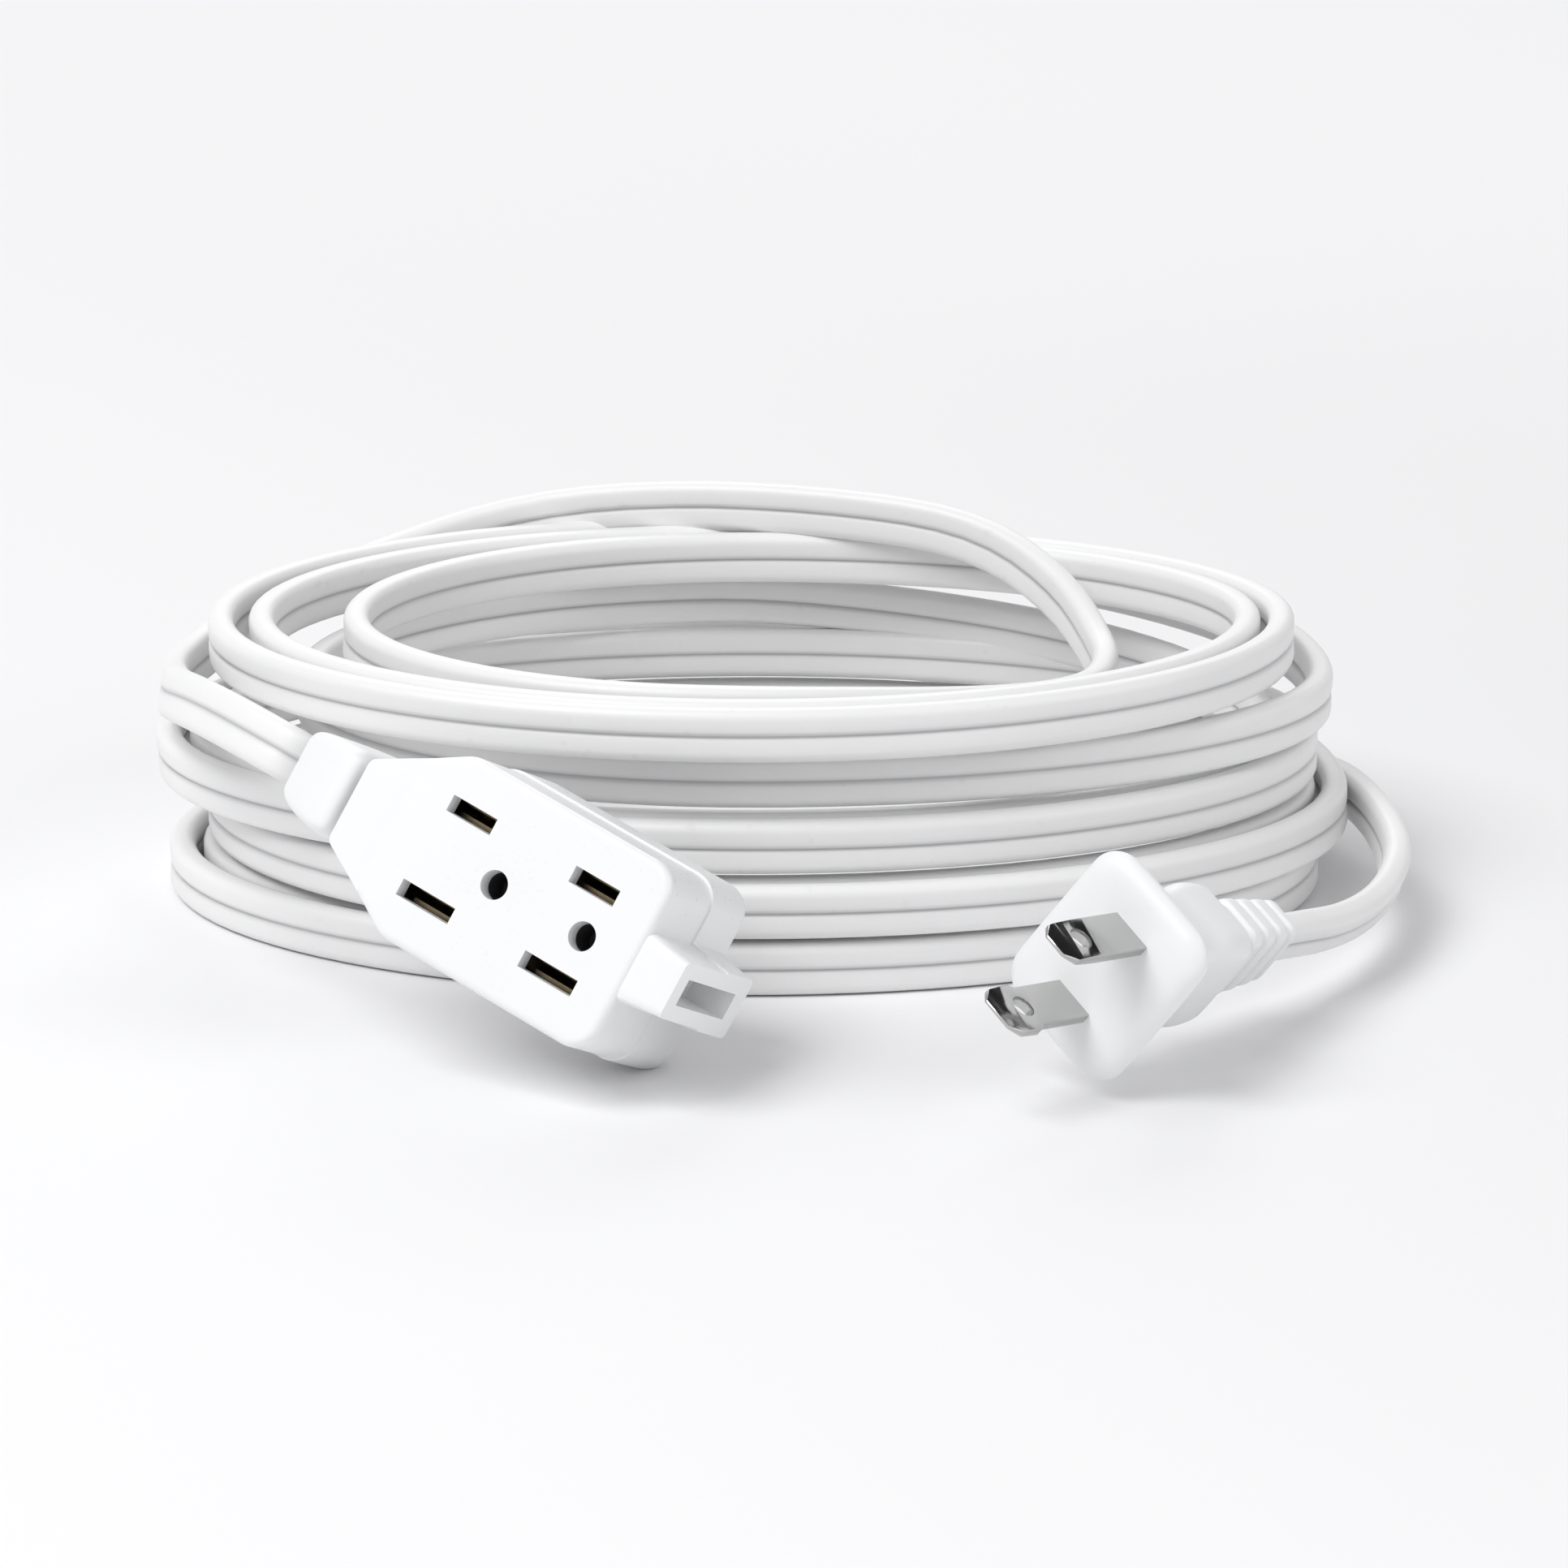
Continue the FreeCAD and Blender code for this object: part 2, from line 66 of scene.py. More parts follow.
# %% [markdown]
# Shader maths reads best as ordinary expressions, so one small class wraps a socket and turns + and * into
# Math nodes. Every other node comes from one method that takes its settings first and then its sockets. The
# world's few nodes and every finish below are built with these helpers.

# %% Shader helpers


class Sock:
    """An output socket. Arithmetic on it adds Math nodes to its tree."""

    def __init__(self, graph, socket):
        self.graph = graph
        self.socket = socket

    def _math(self, operation, other, clamp=False):
        settings = {"operation": operation, "use_clamp": clamp}
        return self.graph.add("ShaderNodeMath", settings, {0: self, 1: other})[0]

    def __add__(self, other):
        return self._math("ADD", other)

    __radd__ = __add__

    def __mul__(self, other):
        return self._math("MULTIPLY", other)

    __rmul__ = __mul__

    def clamp(self):
        """The same value, kept between 0 and 1."""
        return self._math("ADD", 0.0, clamp=True)


class NodeTree:
    """A tree of shader nodes, emptied first."""

    def __init__(self, tree):
        self.tree = tree
        self.tree.nodes.clear()

    def add(self, kind, settings=None, sockets=None):
        """A node of a kind: its settings, then its sockets' values or links. Returns its outputs."""
        node = self.tree.nodes.new(kind)
        for key, value in (settings or {}).items():
            if key == "stops":
                ramp = node.color_ramp
                while len(ramp.elements) > 1:
                    ramp.elements.remove(ramp.elements[-1])
                for i, (place, level) in enumerate(value):
                    stop = ramp.elements[0] if i == 0 else ramp.elements.new(place)
                    stop.position = place
                    stop.color = (level, level, level, 1)
            else:
                setattr(node, key, value)
        for key, value in (sockets or {}).items():
            self.feed(node.inputs[key], value)
        return [Sock(self, socket) for socket in node.outputs]

    def feed(self, socket, value):
        if isinstance(value, Sock):
            self.tree.links.new(value.socket, socket)
        else:
            socket.default_value = value


class Graph(NodeTree):
    """One material's node tree with its shader."""

    def __init__(self, name, base, roughness, metallic=0.0):
        self.material = bpy.data.materials.new(name)
        self.material.use_nodes = True
        super().__init__(self.material.node_tree)
        out = self.tree.nodes.new("ShaderNodeOutputMaterial")
        self.shader = self.tree.nodes.new("ShaderNodeBsdfPrincipled")
        self.tree.links.new(self.shader.outputs[0], out.inputs["Surface"])
        self.shader.inputs["Base Color"].default_value = (*base, 1)
        self.shader.inputs["Roughness"].default_value = roughness
        self.shader.inputs["Metallic"].default_value = metallic

    def noise(self, scale, detail, stretch=(1, 1, 1), turn=(0, 0, 0)):
        """Noise over the piece's own Object coordinates, stretched and turned by a Mapping node."""
        coordinates = self.add("ShaderNodeTexCoord")[3]
        sockets = {"Vector": coordinates, "Scale": stretch, "Rotation": turn}
        mapped = self.add("ShaderNodeMapping", {}, sockets)[0]
        return self.add("ShaderNodeTexNoise", {}, {"Vector": mapped, "Scale": scale, "Detail": detail})[0]

    def ramp(self, value, stops):
        return self.add("ShaderNodeValToRGB", {"stops": stops}, {"Fac": value})[0]

    def blend(self, factor, a, b):
        """Colour a where factor is 0 and colour b where it is 1."""
        a = a if isinstance(a, Sock) else (*a, 1)
        b = b if isinstance(b, Sock) else (*b, 1)
        return self.add("ShaderNodeMix", {"data_type": "RGBA"}, {0: factor, 6: a, 7: b})[2]

    def bump(self, height, strength, distance):
        sockets = {"Height": height, "Strength": strength, "Distance": distance}
        self.feed(self.shader.inputs["Normal"], self.add("ShaderNodeBump", {}, sockets)[0])

    def paint(self, colour, roughness):
        self.feed(self.shader.inputs["Base Color"], colour)
        self.feed(self.shader.inputs["Roughness"], roughness)


print("shader helpers ready")

# %% [markdown]
# A white product is lit softly, or its own forms disappear. One big lamp from the upper left makes the tops
# bright and leaves the lower sides grey, a weak one from the right opens the shadows, and one from behind
# lifts the far turns off the background. The world fills in what is left. Only the camera and reflections see
# its pale background, so that can be as bright as it likes without washing out the white plastic.

# %% Lamps and world
LAMP_TARGET = Vector((0.03, 0.06, 0.02))
LAMPS = [                                # name, place, width of its square and power in watts
    ("key_lamp", (-1.0, -0.8, 1.8), 1.3, 28.5),
    ("fill_lamp", (1.5, -0.8, 0.9), 1.2, 5.5),
    ("back_lamp", (0.1, 1.7, 1.3), 1.2, 8.0),
]
FILL_COLOUR, FILL_STRENGTH = (0.99, 0.99, 1.0), 0.5
SEEN_COLOUR, SEEN_STRENGTH = (0.93, 0.93, 0.95), 1.0

scene = bpy.context.scene
scene.view_settings.view_transform = "Standard"

for name, place, size, power in LAMPS:
    data = bpy.data.lights.new(name, "AREA")
    data.size = size
    data.energy = power
    lamp = bpy.data.objects.new(name, data)
    bpy.context.collection.objects.link(lamp)
    lamp.location = place
    lamp.rotation_euler = (LAMP_TARGET - Vector(place)).to_track_quat("-Z", "Y").to_euler()

world = bpy.data.worlds.new("studio")
scene.world = world
world.use_nodes = True
sky = NodeTree(world.node_tree)
camera_ray, _, _, glossy_ray = sky.add("ShaderNodeLightPath")[:4]
background_shows = sky.add("ShaderNodeMath", {"operation": "MAXIMUM"}, {0: camera_ray, 1: glossy_ray})[0]
fill = sky.add("ShaderNodeBackground", {}, {"Color": (*FILL_COLOUR, 1), "Strength": FILL_STRENGTH})[0]
seen = sky.add("ShaderNodeBackground", {}, {"Color": (*SEEN_COLOUR, 1), "Strength": SEEN_STRENGTH})[0]
both = sky.add("ShaderNodeMixShader", {}, {0: background_shows, 1: fill, 2: seen})[0]
sky.add("ShaderNodeOutputWorld", {}, {"Surface": both})
print("lamps", len(LAMPS), "light paths used", camera_ray.socket.name, "and", glossy_ray.socket.name)

# %% [markdown]
# The floor is one plain pale plane. Polished blades would mirror only white here and look like paper, so a
# dark card stands outside the picture, where only the tapered tips of the blades mirror it. Photographers use
# such cards for the same reason.

# %% Floor and card
FLOOR_SIZE = 12
FLOOR_COLOUR, CARD_COLOUR = (0.91, 0.91, 0.918), (0.01, 0.01, 0.01)
DULL = 0.9
CARD_FROM = Vector((0.076, -0.015, 0.018))       # near the plug's face
CARD_TURN, CARD_RISE, CARD_FAR = math.radians(50), math.radians(43), 0.5
CARD_SIZE = (0.40, 0.27)


def deselect():
    if bpy.context.object and bpy.context.object.mode != "OBJECT":
        bpy.ops.object.mode_set(mode="OBJECT")
    bpy.ops.object.select_all(action="DESELECT")


deselect()
bpy.ops.mesh.primitive_plane_add(size=FLOOR_SIZE, location=(0, 0, 0))
floor = bpy.context.object
floor.name = "floor"

card_way = Vector((math.cos(CARD_RISE) * math.cos(CARD_TURN), math.cos(CARD_RISE) * math.sin(CARD_TURN),
                   math.sin(CARD_RISE)))
deselect()
bpy.ops.mesh.primitive_plane_add(size=1, location=CARD_FROM + card_way * CARD_FAR,
                                 rotation=card_way.to_track_quat("Z", "Y").to_euler())
card = bpy.context.object
card.name = "dark_card"
card.scale = (*CARD_SIZE, 1)

floor_paint = Graph("pale_floor", FLOOR_COLOUR, DULL)
floor_paint.shader.inputs["Specular IOR Level"].default_value = 0.0
floor.data.materials.append(floor_paint.material)
card.data.materials.append(Graph("dark_card", CARD_COLOUR, DULL).material)
print("floor colour", FLOOR_COLOUR, "card size", CARD_SIZE)

# %% [markdown]
# The cord is one flat twin cord, about 4.5 metres long. From the outlet block's collar it goes round behind
# the coil and over its back, becomes the ten turns, and comes out low on the right to the plug. Its line is
# one NURBS curve. The free stretches are listed points. They follow the solid's and leave them by a
# few millimetres where the photograph does. The turns are worked out by a loop: each has its own reach at the
# back, left, front and right, because loosely wound turns differ in size, and they lie on five levels.

# %% Route of the cord
MM = 0.001
COIL_X, COIL_Y = 30.4, 90.1
LEVELS = [3.85, 12.0, 20.2, 28.4, 36.6]
COIL_START = 87.5                    # how far right of the middle the first turn starts
COIL_LAST_Z = 30.0
POINTS_PER_QUARTER = 6
LOOP_LIFT, LOOP_OUT = 6.75, 1.5      # the first quarter turn comes down from the loop beside the plug
LINE_STEPS = 4
TURNS = [                            # reach at the back, left, front and right, and the level
    (60.0, 82.7, 59.6, 80.6, 0),
    (54.8, 77.9, 54.9, 75.2, 0),
    (49.8, 72.0, 55.8, 80.0, 1),
    (56.0, 77.0, 60.4, 84.7, 1),
    (60.7, 84.2, 57.0, 80.2, 2),
    (54.4, 79.4, 52.2, 75.4, 2),
    (55.6, 64.0, 52.8, 82.2, 3),
    (58.8, 76.4, 60.0, 76.5, 4),
    (52.6, 70.5, 55.3, 71.6, 4),
    (47.2, 57.0, 47.8, 51.0, 4),
]
TO_OUTLET = [
    (81.4, 90.1, 30.0), (81.4, 100.1, 30.0), (76.0, 113.7, 36.6), (64.0, 126.1, 42.6),
    (44.4, 135.1, 43.9), (18.4, 144.1, 43.4), (-5.6, 148.6, 40.2), (-27.6, 141.1, 34.0),
    (-44.6, 122.1, 30.5), (-52.6, 96.1, 29.0), (-50.6, 65.1, 33.8), (-45.6, 42.1, 38.5),
    (-37.3, 25.48, 39.1), (-28.14, 19.86, 35.29),
]
TO_PLUG = [
    (99.07, 16.98, 11.96), (104.0, 23.8, 10.75), (109.4, 31.2, 9.4), (115.0, 42.0, 8.6),
    (119.0, 54.0, 8.7), (121.3, 66.0, 9.1), (121.0, 78.0, 9.9), (119.4, 90.1, 10.6),
]


def smooth(t):
    """From 0 to 1 with a gentle start and end."""
    t = max(0.0, min(1.0, t))
    return t * t * (3 - 2 * t)


def coil_points():
    """The turns from the plug's side up to the top, counterclockwise seen from above."""
    points = []
    right, z = COIL_START, LEVELS[0]
    for i, (back, left, front, next_right, level) in enumerate(TURNS):
        here = LEVELS[level]
        last = COIL_LAST_Z if i == len(TURNS) - 1 else here
        quarters = [(right, back, z, here), (left, back, here, here), (left, front, here, here),
                    (next_right, front, here, last)]
        for q, (reach_x, reach_y, z0, z1) in enumerate(quarters):
            for k in range(POINTS_PER_QUARTER):
                t = k / POINTS_PER_QUARTER
                turn = math.radians(90 * (q + t))
                climb = smooth(t) if q == 3 else t
                high = 1 - smooth(t) if i == 0 and q == 0 else 0
                x = COIL_X + (reach_x + LOOP_OUT * high) * math.cos(turn)
                y = COIL_Y + reach_y * math.sin(turn)
                points.append((x, y, z0 + (z1 - z0) * climb + LOOP_LIFT * high))
        right, z = next_right, last
    return points


def nurbs_line(name, points, steps):
    """The points that a smooth curve through a route's control points passes."""
    curve = bpy.data.curves.new(name, "CURVE")
    curve.dimensions = "3D"
    curve.resolution_u = steps
    spline = curve.splines.new("NURBS")
    spline.points.add(len(points) - 1)
    for spot, point in zip(spline.points, points):
        spot.co = (*point, 1)
    spline.order_u = 3
    spline.use_endpoint_u = True
    holder = bpy.data.objects.new(name, curve)
    bpy.context.collection.objects.link(holder)
    bpy.context.view_layer.update()
    mesh = bpy.data.meshes.new_from_object(holder)
    line = [v.co.copy() for v in mesh.vertices]
    bpy.data.objects.remove(holder)
    bpy.data.meshes.remove(mesh)
    return line


# The line runs from the block to the plug. The last point to the plug is where the coil starts
route = list(reversed(TO_OUTLET)) + list(reversed(coil_points())) + list(reversed(TO_PLUG[:-1]))
route_points = [Vector(p) * MM for p in route]
cord_line = nurbs_line("cord_route", route_points, LINE_STEPS)
cord_length = sum((b - a).length for a, b in zip(cord_line[:-1], cord_line[1:]))
print("route points", len(route_points), "line points", len(cord_line), "length", round(cord_length, 3))

# %% [markdown]
# The section of a flat twin cord is two cores side by side: flat wide faces, round outer edges, and a narrow
# groove down the middle of each face where the two halves can be torn apart. A curve's own bevel can't keep
# that groove facing the right way, so the section is a list of corners that is carried along the line.

# %% Section of the cord
CORD_WIDTH = 7.4 * MM
CORD_THICK = 3.7 * MM
GROOVE_DEEP = 0.5 * MM
GROOVE_HALF = 0.34 * MM
EDGE_ROUND = 1.45 * MM
EDGE_STEPS = 5
SAME_POINT = 1e-6
FACE_DIPS = [                        # sunk below the face, place along the width, and how much painted groove shade it gets
    (0.02 * MM, CORD_WIDTH / 2 - 2.3 * MM, 0.0), (0.05 * MM, GROOVE_HALF * 2.2, 0.05),
    (0.14 * MM, GROOVE_HALF, 0.35), (GROOVE_DEEP, 0.0, 1.0),
]


def cord_section():
    """(across the thickness, along the width, depth into the groove) round the section."""
    half_w, half_t, r = CORD_WIDTH / 2, CORD_THICK / 2, EDGE_ROUND
    face = []
    for k in range(EDGE_STEPS + 1):
        turn = math.radians(90 - 90 / EDGE_STEPS * k)
        face.append((half_t - r + r * math.cos(turn), half_w - r + r * math.sin(turn), 0.0))
    face += [(half_t - sunk, out, depth) for sunk, out, depth in FACE_DIPS]
    right = face + [(x, -y, d) for x, y, d in reversed(face[:-1])]
    left = [(-x, -y, d) for x, y, d in right]
    ring = right + left
    return [p for i, p in enumerate(ring) if (Vector(p[:2]) - Vector(ring[i - 1][:2])).length > SAME_POINT]


section = cord_section()
print("section corners", len(section))

# %% [markdown]
# The section stands upright in the coil, sways a little as hand-wound cord does, and leans over to meet the
# plug at one end and the outlet block at the other. The tube is one ring of corners for each point of the
# line, turned that way. Every corner also keeps how deep in the groove it lies, which the painted groove shade
# needs.

# %% Sweep the section along the route
PLUG_ACROSS = Vector((-0.558, 0.262, -0.788))    # from the line blade to the neutral one
BLOCK_UP = Vector((0.475, 0.181, 0.861))
UP = Vector((0, 0, 1))
STRAIGHT_END = 12 * MM
PLUG_BLEND = 75 * MM
BLOCK_BLEND = 70 * MM
SWAYS = [(0.055, 9.1, 0.0), (0.045, 21.7, 1.3)]  # how far, how often along the cord, and where it starts
SWAY_TURN = 5.0


def sweep(name, line, ring, up_at):
    """A closed tube through the line, with the depth of its groove as an attribute."""
    verts, faces, depths = [], [], []
    along = 0.0
    count = len(ring)
    for i, point in enumerate(line):
        ahead = (line[min(i + 1, len(line) - 1)] - line[max(i - 1, 0)]).normalized()
        if i:
            along += (point - line[i - 1]).length
        up = up_at(along)
        up = (up - ahead * up.dot(ahead)).normalized()
        side = ahead.cross(up)
        for x, y, depth in ring:
            verts.append(point + side * x + up * y)
            depths.append(depth)
    for i in range(len(line) - 1):
        for k in range(count):
            a, b = i * count + k, i * count + (k + 1) % count
            faces.append((a, a + count, b + count, b))
    faces.append(tuple(range(count)))
    faces.append(tuple(reversed(range((len(line) - 1) * count, len(line) * count))))
    mesh = bpy.data.meshes.new(name)
    mesh.from_pydata(verts, [], faces)
    mesh.attributes.new("groove", "FLOAT", "POINT").data.foreach_set("value", depths)
    piece = bpy.data.objects.new(name, mesh)
    bpy.context.collection.objects.link(piece)
    deselect()
    bpy.context.view_layer.objects.active = piece
    piece.select_set(True)
    bpy.ops.object.mode_set(mode="EDIT")
    bpy.ops.mesh.select_all(action="SELECT")
    bpy.ops.mesh.normals_make_consistent(inside=False)
    bpy.ops.object.mode_set(mode="OBJECT")
    bpy.ops.object.shade_smooth()
    return piece


def cord_up(along):
    """Which way the cord's width points: upright, leaning near the block and near the plug."""
    from_plug = cord_length - along
    sway = sum(far * math.sin(along * often + start) for far, often, start in SWAYS)
    upright = UP + Vector((math.cos(along * SWAY_TURN), math.sin(along * SWAY_TURN), 0)) * sway
    lean = BLOCK_UP.lerp(upright, smooth((along - STRAIGHT_END) / BLOCK_BLEND))
    return lean.lerp(-PLUG_ACROSS, 1 - smooth((from_plug - STRAIGHT_END) / PLUG_BLEND))


cord = sweep("flat_twin_cord", cord_line, section, cord_up)
print("cord faces", len(cord.data.polygons))

# %% [markdown]
# The jacket is soft white vinyl, pulled through a die: smooth with a dull sheen, a slight cloudiness, a few
# specks, and painted shade that greys the groove. The groove's depth was kept as an attribute, so the painted
# shade follows it round every turn, and the clouds and specks are noise in the cord's own coordinates.

# %% Cord jacket
VINYL_DARK, VINYL, VINYL_LIGHT = (0.83, 0.83, 0.83), (0.85, 0.85, 0.85), (0.88, 0.88, 0.88)
# Painted shade: a dark grey put into the groove's base colour, standing in for the shade that falls in it.
GROOVE_SHADE, GROOVE_SHADE_SHARE = (0.30, 0.30, 0.31), 0.62
SPECK_COLOUR, SPECK_SHARE = (0.5, 0.49, 0.47), 0.10
SPECK_STOPS = [(0.0, 0), (0.73, 0), (0.78, 1)]

jacket = Graph("white_vinyl_jacket", VINYL, 0.4)
groove = jacket.add("ShaderNodeAttribute", {"attribute_name": "groove"})[2]
cloud = jacket.noise(60, 3)
fine = jacket.noise(900, 2)
specks = jacket.ramp(jacket.noise(420, 1), SPECK_STOPS)
tone = jacket.blend(cloud, VINYL_DARK, VINYL_LIGHT)
# Painted shade: the deeper a corner lies in the groove, the more this painted groove shade darkens it.
groove_shaded = jacket.blend((groove * GROOVE_SHADE_SHARE).clamp(), tone, GROOVE_SHADE)
jacket.paint(jacket.blend(specks * SPECK_SHARE, groove_shaded, SPECK_COLOUR), cloud * 0.12 + fine * 0.1 + 0.3)
jacket.bump(fine * 0.6 + cloud * 0.4, 0.12, 0.2 * MM)
cord.data.materials.append(jacket.material)
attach(cord, "root")
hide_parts("cord_coil", "cord_to_outlet", "cord_to_plug")
print("jacket on", cord.name)

# %% [markdown]
# The outlet block is moulded in a harder, glossier plastic than the cord, in two shells, and the plug in a
# softer one. One recipe makes them all: a tone that varies only a little, a very fine even grain, and a sheen
# that the grain breaks up. The carrier inside the block is painted near black as painted shade, so its holes
# look dark.

# %% Moulded plastics
GRAIN_DEEP = 0.15 * MM


def moulded(name, low, high, roughness, grain, grain_strength):
    """A moulding: a soft tone, a fine grain and an even sheen."""
    graph = Graph(name, high, roughness)
    cloud = graph.noise(45, 3)
    fine = graph.noise(grain, 3)
    graph.paint(graph.blend(cloud, low, high), fine * 0.12 + cloud * 0.06 + (roughness - 0.09))
    graph.bump(fine, grain_strength, GRAIN_DEEP)
    return graph.material


shell_white = moulded("shell_white", (0.86, 0.865, 0.87), (0.90, 0.905, 0.91), 0.30, 1400, 0.06)
plug_white = moulded("plug_white", (0.85, 0.855, 0.86), (0.885, 0.89, 0.895), 0.42, 1100, 0.12)
# Painted shade: the carrier's near black colour stands in for the shade deep in the block's slots and holes.
carrier_painted_shade = moulded("carrier_painted_shade", (0.035, 0.035, 0.037), (0.05, 0.05, 0.052), 0.5, 900, 0.1)
core_white = moulded("core_white", (0.70, 0.71, 0.72), (0.76, 0.77, 0.78), 0.5, 900, 0.1)
print("mouldings", [m.name for m in (shell_white, plug_white, carrier_painted_shade, core_white)])

# %% [markdown]
# The blades are plated brass, drawn and stamped: bright, with fine scratches along their length. The contacts
# inside the block are brass, painted dark brown as painted shade for the depth of a slot. Noise stretched along
# one way gives the scratches, and it drives the colour, the sheen and a very small bump together.

# %% Metals
SCRATCH_STRETCH = (1, 14, 14)
SCRATCH_DEEP = 0.1 * MM


def drawn_metal(name, colour, dark, roughness, turn):
    """Bright metal with fine scratches along one direction."""
    graph = Graph(name, colour, roughness, metallic=1.0)
    lines = graph.noise(500, 4, stretch=SCRATCH_STRETCH, turn=turn)
    stain = graph.noise(120, 3)
    graph.paint(graph.blend((stain * 0.5 + lines * 0.5).clamp(), dark, colour),
                lines * 0.12 + stain * 0.08 + (roughness - 0.1))
    graph.bump(lines, 0.06, SCRATCH_DEEP)
    return graph.material


blade_metal = drawn_metal("plated_blade", (0.55, 0.55, 0.545), (0.45, 0.45, 0.445), 0.13, (0, 0, 0.95))
# Painted shade: the contact brass is painted dark brown, standing in for the shade deep in the slots.
brass = drawn_metal("contact_brass_painted_shade", (0.20, 0.16, 0.10), (0.09, 0.07, 0.045), 0.3, (0, 0, 0.5))
print("metals", blade_metal.name, brass.name)

# %% [markdown]
# The block's two shells, what is inside them, and the cores in both ends of the cord stay as the packed
# model has them. They only need a finish.

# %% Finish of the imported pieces
NODE_FINISH = {
    "outlet_front_shell": shell_white,
    "outlet_back_shell": shell_white,
    "contact_carrier": carrier_painted_shade,
    "outlet_line_wire": core_white,
    "outlet_neutral_wire": core_white,
    "plug_line_wire": core_white,
    "plug_neutral_wire": core_white,
    "line_contact_strip": brass,
    "neutral_contact_strip": brass,
}
for name, material in NODE_FINISH.items():
    nodes[name].data.materials.clear()
    nodes[name].data.materials.append(material)
print("finished nodes", len(NODE_FINISH))

# %% [markdown]
# Soft mouldings have no sharp edge anywhere. Each is drawn as rings: one rounded rectangle is extruded step by
# step, and every step resizes it to the half sizes at that place, so the list of rings reads like a side view.
# A subdivision then rounds what is left.

# %% Ring forms


def frame_at(place, x_way, z_way):
    """The matrix of a fitting's own axes, from its origin in millimetres."""
    z = Vector(z_way).normalized()
    x = Vector(x_way)
    x = (x - z * x.dot(z)).normalized()
    turn = Matrix((x, z.cross(x), z)).transposed().to_4x4()
    return Matrix.Translation(Vector(place) * MM) @ turn


def apply_modifiers(piece):
    for modifier in list(piece.modifiers):
        bpy.ops.object.modifier_apply(modifier=modifier.name)


def ring_form(name, corner, rings, arcs=6):
    """A closed form through (half x, half y, z) rings in millimetres; its first ring has this corner radius."""
    deselect()
    bpy.ops.mesh.primitive_plane_add(size=2)
    piece = bpy.context.object
    piece.name = name
    bpy.ops.object.mode_set(mode="EDIT")
    half_x, half_y, z = rings[0]
    bpy.ops.transform.resize(value=(half_x * MM, half_y * MM, 1))
    bpy.ops.transform.translate(value=(0, 0, z * MM))
    bpy.ops.mesh.bevel(offset=corner * MM, segments=arcs, affect="VERTICES")
    for (x0, y0, z0), (x1, y1, z1) in zip(rings[:-1], rings[1:]):
        bpy.ops.mesh.extrude_region_move(TRANSFORM_OT_translate={"value": (0, 0, (z1 - z0) * MM)})
        bpy.ops.transform.resize(value=(x1 / x0, y1 / y0, 1), center_override=(0, 0, z1 * MM))
    bpy.ops.mesh.select_all(action="SELECT")
    bpy.ops.mesh.normals_make_consistent(inside=False)
    bpy.ops.object.mode_set(mode="OBJECT")
    return piece


def soften(piece):
    """Rounds the newest ring form all over."""
    rounder = piece.modifiers.new("rounder", "SUBSURF")
    rounder.levels = rounder.render_levels = 2
    apply_modifiers(piece)


def settle(piece, matrix, material, node, sharp_from):
    """Finishes a piece: place, shading, material and the solid that it stands for."""
    deselect()
    piece.select_set(True)
    bpy.context.view_layer.objects.active = piece
    piece.matrix_world = matrix
    bpy.ops.object.transform_apply(location=True, rotation=True, scale=True)
    bpy.ops.object.shade_smooth_by_angle(angle=math.radians(sharp_from))
    piece.data.materials.append(material)
    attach(piece, "root")
    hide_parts(node)
    print(piece.name, "faces", len(piece.data.polygons))


print("ring form helpers ready")

# %% [markdown]
# The plug is one soft moulding: a broad rounded flange whose corners fall back, a narrow waist behind it for
# the fingers, two shoulders, and a tail with four grooves that lets the cord bend. It could be sculpted, but
# as rings every width stays a number that can be compared with the photograph. The bridge that holds the
# blades is hidden inside it.

# %% Plug moulding
PLUG_FRAME = frame_at((75.62, -15.5, 17.77), PLUG_ACROSS, (-0.579, -0.802, 0.1435))
PLUG_CORNER, BRIDGE_CORNER = 1.65, 0.8
PLUG_RINGS = [
    (4.6, 3.5, 0.05), (8.4, 6.6, -0.02), (10.9, 8.8, -0.25), (12.3, 10.1, -0.8), (13.1, 10.8, -1.7),
    (13.2, 10.9, -2.4), (12.8, 10.5, -3.2), (11.6, 9.2, -4.3), (10.3, 8.0, -5.8), (9.2, 7.0, -7.6),
    (8.4, 6.3, -9.8), (8.1, 6.05, -12.2), (8.2, 6.2, -14.4), (8.55, 6.6, -16.2), (8.6, 6.8, -18.0),
    (8.3, 6.75, -20.2), (7.9, 6.6, -22.4), (7.3, 6.1, -23.7), (6.5, 5.1, -24.7), (6.1, 4.4, -25.6),
    (5.9, 4.05, -26.8),
]
BRIDGE_RINGS = [(7.5, 4.2, -2.6), (7.6, 4.3, -2.9), (7.6, 4.3, -6.6), (7.5, 4.2, -6.9)]
TAIL_START, TAIL_END, GROOVES, GROOVE_PITCH = -26.8, -40.5, 4, 3.7
TAIL_HALF_X, TAIL_HALF_Y = 6.35, 4.35
TAIL_TAPER, TAPER_Y_SHARE = 0.085, 0.85
BAND_SET_BACK, BAND_GAP, TAIL_LIP = 0.75, 1.1, 0.25
TAIL_TIP = (4.2, 2.4, TAIL_END)
BAND_NEAR = [(0.75, 0.7, 0.30), (0.62, 0.6, 0.02), (0.12, 0.12, -0.18), (0.0, 0.0, -0.55)]
BAND_FAR = [(0.08, 0.07, 0.35), (0.25, 0.22, 0.0), (0.78, 0.72, -0.2)]


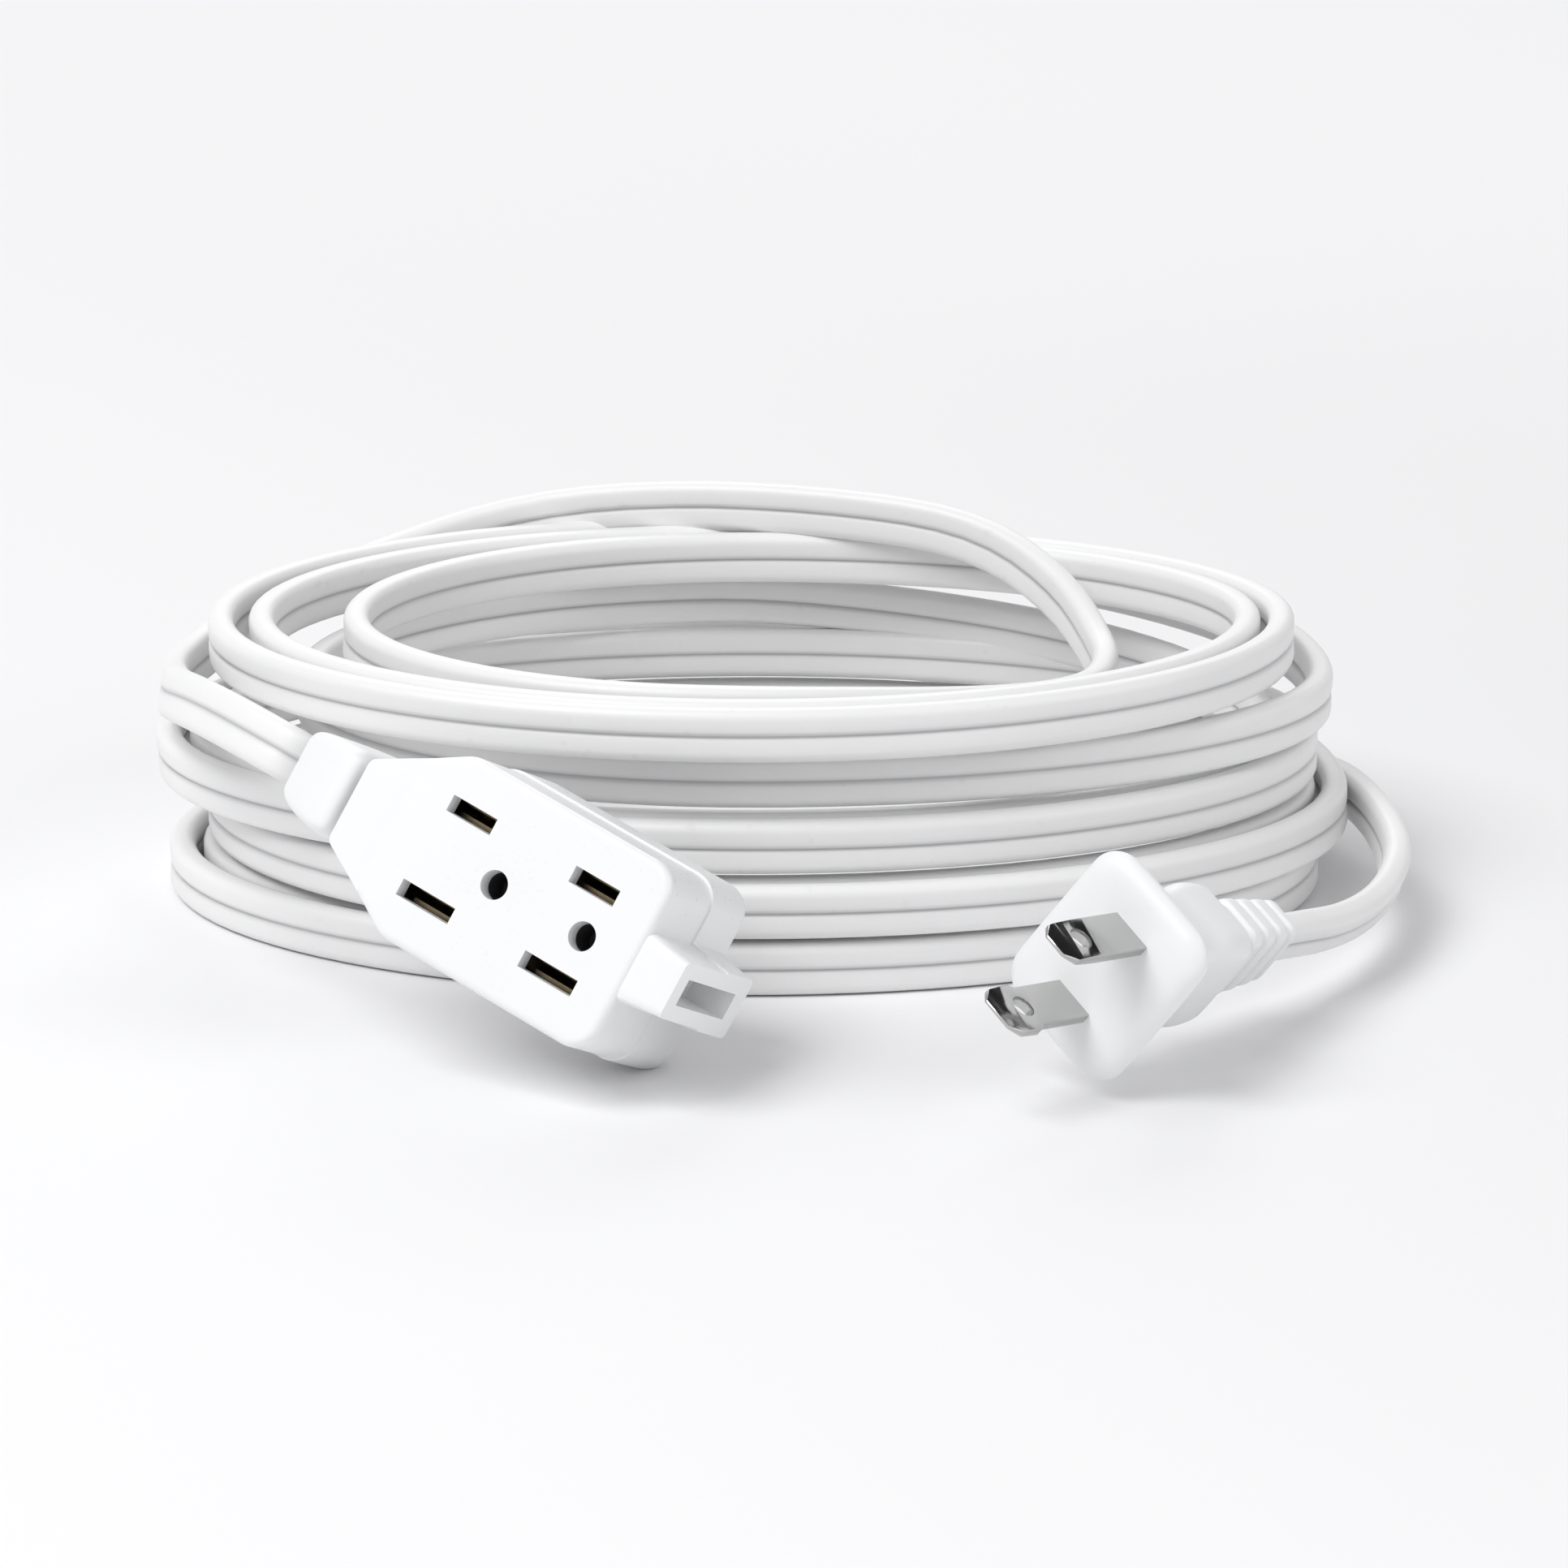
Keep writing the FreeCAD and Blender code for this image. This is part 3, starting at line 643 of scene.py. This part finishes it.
def tail_rings():
    """Four round-edged bands with a groove before each, narrowing towards the cord."""
    rings = []
    for i in range(GROOVES):
        near = TAIL_START - BAND_SET_BACK - GROOVE_PITCH * i
        far = max(near - GROOVE_PITCH + BAND_GAP, TAIL_END + TAIL_LIP)
        shrink = TAIL_TAPER * (TAIL_START - near)
        half_x, half_y = TAIL_HALF_X - shrink, TAIL_HALF_Y - shrink * TAPER_Y_SHARE
        for end, steps in ((near, BAND_NEAR), (far, BAND_FAR)):
            rings += [(half_x - less_x, half_y - less_y, end + step) for less_x, less_y, step in steps]
    return rings


plug = ring_form("plug_moulding", PLUG_CORNER, PLUG_RINGS + tail_rings() + [TAIL_TIP])
soften(plug)
settle(plug, PLUG_FRAME, plug_white, "plug_body", sharp_from=75)

bridge = ring_form("blade_bridge_moulding", BRIDGE_CORNER, BRIDGE_RINGS)
settle(bridge, PLUG_FRAME, carrier_painted_shade, "plug_blade_bridge", sharp_from=40)

# %% [markdown]
# Each blade is a flat strip that thins towards its tip. The neutral one gets wider near the end. Its hole is
# cut with a drawn cylinder, as the real one is punched after the strip is stamped, and a fine bevel catches
# the light along every edge and round the hole.

# %% Blades
BLADE_HALF_W, NEUTRAL_HALF_W, BLADE_CORNER = 3.175, 3.8, 0.1
BLADE_SHANK = [(0.75, -3.0), (0.75, 0.0), (0.75, 5.0), (0.75, 8.5), (0.745, 10.6)]    # half thickness, z
BLADE_TIP = [                                                                       # and narrower by
    (0.715, 0.0, 11.5), (0.65, 0.0, 13.0), (0.56, 0.0, 14.4), (0.46, 0.0, 15.5),
    (0.36, 0.75, 16.4), (0.22, 1.5, 17.3), (0.12, 1.7, 17.4),
]
HOLE_AT, HOLE_R, HOLE_SIDES, DRILL_LONG = 11.9, 1.65, 48, 6
BLADE_SIDE = 6.35                    # each blade's distance from the plug's middle
EDGE_WIDTH, EDGE_FROM = 0.14, 38


def blade(name, node, side, tip_half):
    """A drilled strip on one side of the plug, with this half width at its tip."""
    rings = [(thick, BLADE_HALF_W, z) for thick, z in BLADE_SHANK]
    rings += [(thick, tip_half - less, z) for thick, less, z in BLADE_TIP]
    piece = ring_form(name, BLADE_CORNER, rings, arcs=1)
    deselect()
    bpy.ops.mesh.primitive_cylinder_add(vertices=HOLE_SIDES, radius=HOLE_R * MM, depth=DRILL_LONG * MM,
                                        location=(0, 0, HOLE_AT * MM), rotation=(0, math.radians(90), 0))
    drill = bpy.context.object
    deselect()
    bpy.context.view_layer.objects.active = piece
    piece.select_set(True)
    cut = piece.modifiers.new("hole", "BOOLEAN")
    cut.object = drill
    cut.operation = "DIFFERENCE"
    cut.solver = "EXACT"
    edge = piece.modifiers.new("edge", "BEVEL")
    edge.width = EDGE_WIDTH * MM
    edge.segments = 2
    edge.limit_method = "ANGLE"
    edge.angle_limit = math.radians(EDGE_FROM)
    apply_modifiers(piece)
    bpy.data.objects.remove(drill)
    place = PLUG_FRAME @ Matrix.Translation((side * BLADE_SIDE * MM, 0, 0))
    settle(piece, place, blade_metal, node, sharp_from=30)
    return piece


line_blade = blade("line_blade_strip", "line_blade", -1, BLADE_HALF_W)
neutral_blade = blade("neutral_blade_strip", "neutral_blade", 1, NEUTRAL_HALF_W)

# %% [markdown]

# %% [markdown]
# The outlet's strain relief is a short bell: wide and square-shouldered where it sits on the block's neck, and
# drawn in with a full round curve to the cord. Its rings run along the block, so the block's axes are turned
# round for it: the rings' own upright points towards the nose.

# %% Strain relief bell
BLOCK_FRAME = frame_at((-8.18, -6.9, 29.93), (0.802, -0.493, -0.338), (-0.363, -0.851, 0.379))
BLOCK_MIDDLE = -13.5
NOSE_IS_UP = Matrix(((0, 0, 1, 0), (1, 0, 0, 0), (0, 1, 0, 0), (0, 0, 0, 1)))
ALONG_BLOCK = BLOCK_FRAME @ Matrix.Translation((0, 0, BLOCK_MIDDLE * MM)) @ NOSE_IS_UP
BELL_CORNER = 0.9
BELL_RINGS = [
    (3.2, 3.2, -14.8), (3.2, 3.2, -17.9), (3.3, 3.4, -18.1), (5.4, 10.6, -18.2), (5.9, 11.3, -18.35),
    (6.25, 11.75, -18.8), (6.4, 11.9, -19.6), (6.4, 11.8, -20.6), (6.3, 11.1, -22.2), (6.15, 10.0, -23.9),
    (5.95, 8.7, -25.6), (5.7, 7.3, -27.2), (5.4, 6.0, -28.6), (5.05, 4.9, -29.7), (4.6, 4.0, -30.5),
    (4.1, 3.2, -31.0), (3.9, 2.6, -31.1),
]
bell = ring_form("strain_relief_bell", BELL_CORNER, BELL_RINGS)
soften(bell)
settle(bell, ALONG_BLOCK, plug_white, "outlet_strain_collar", sharp_from=75)
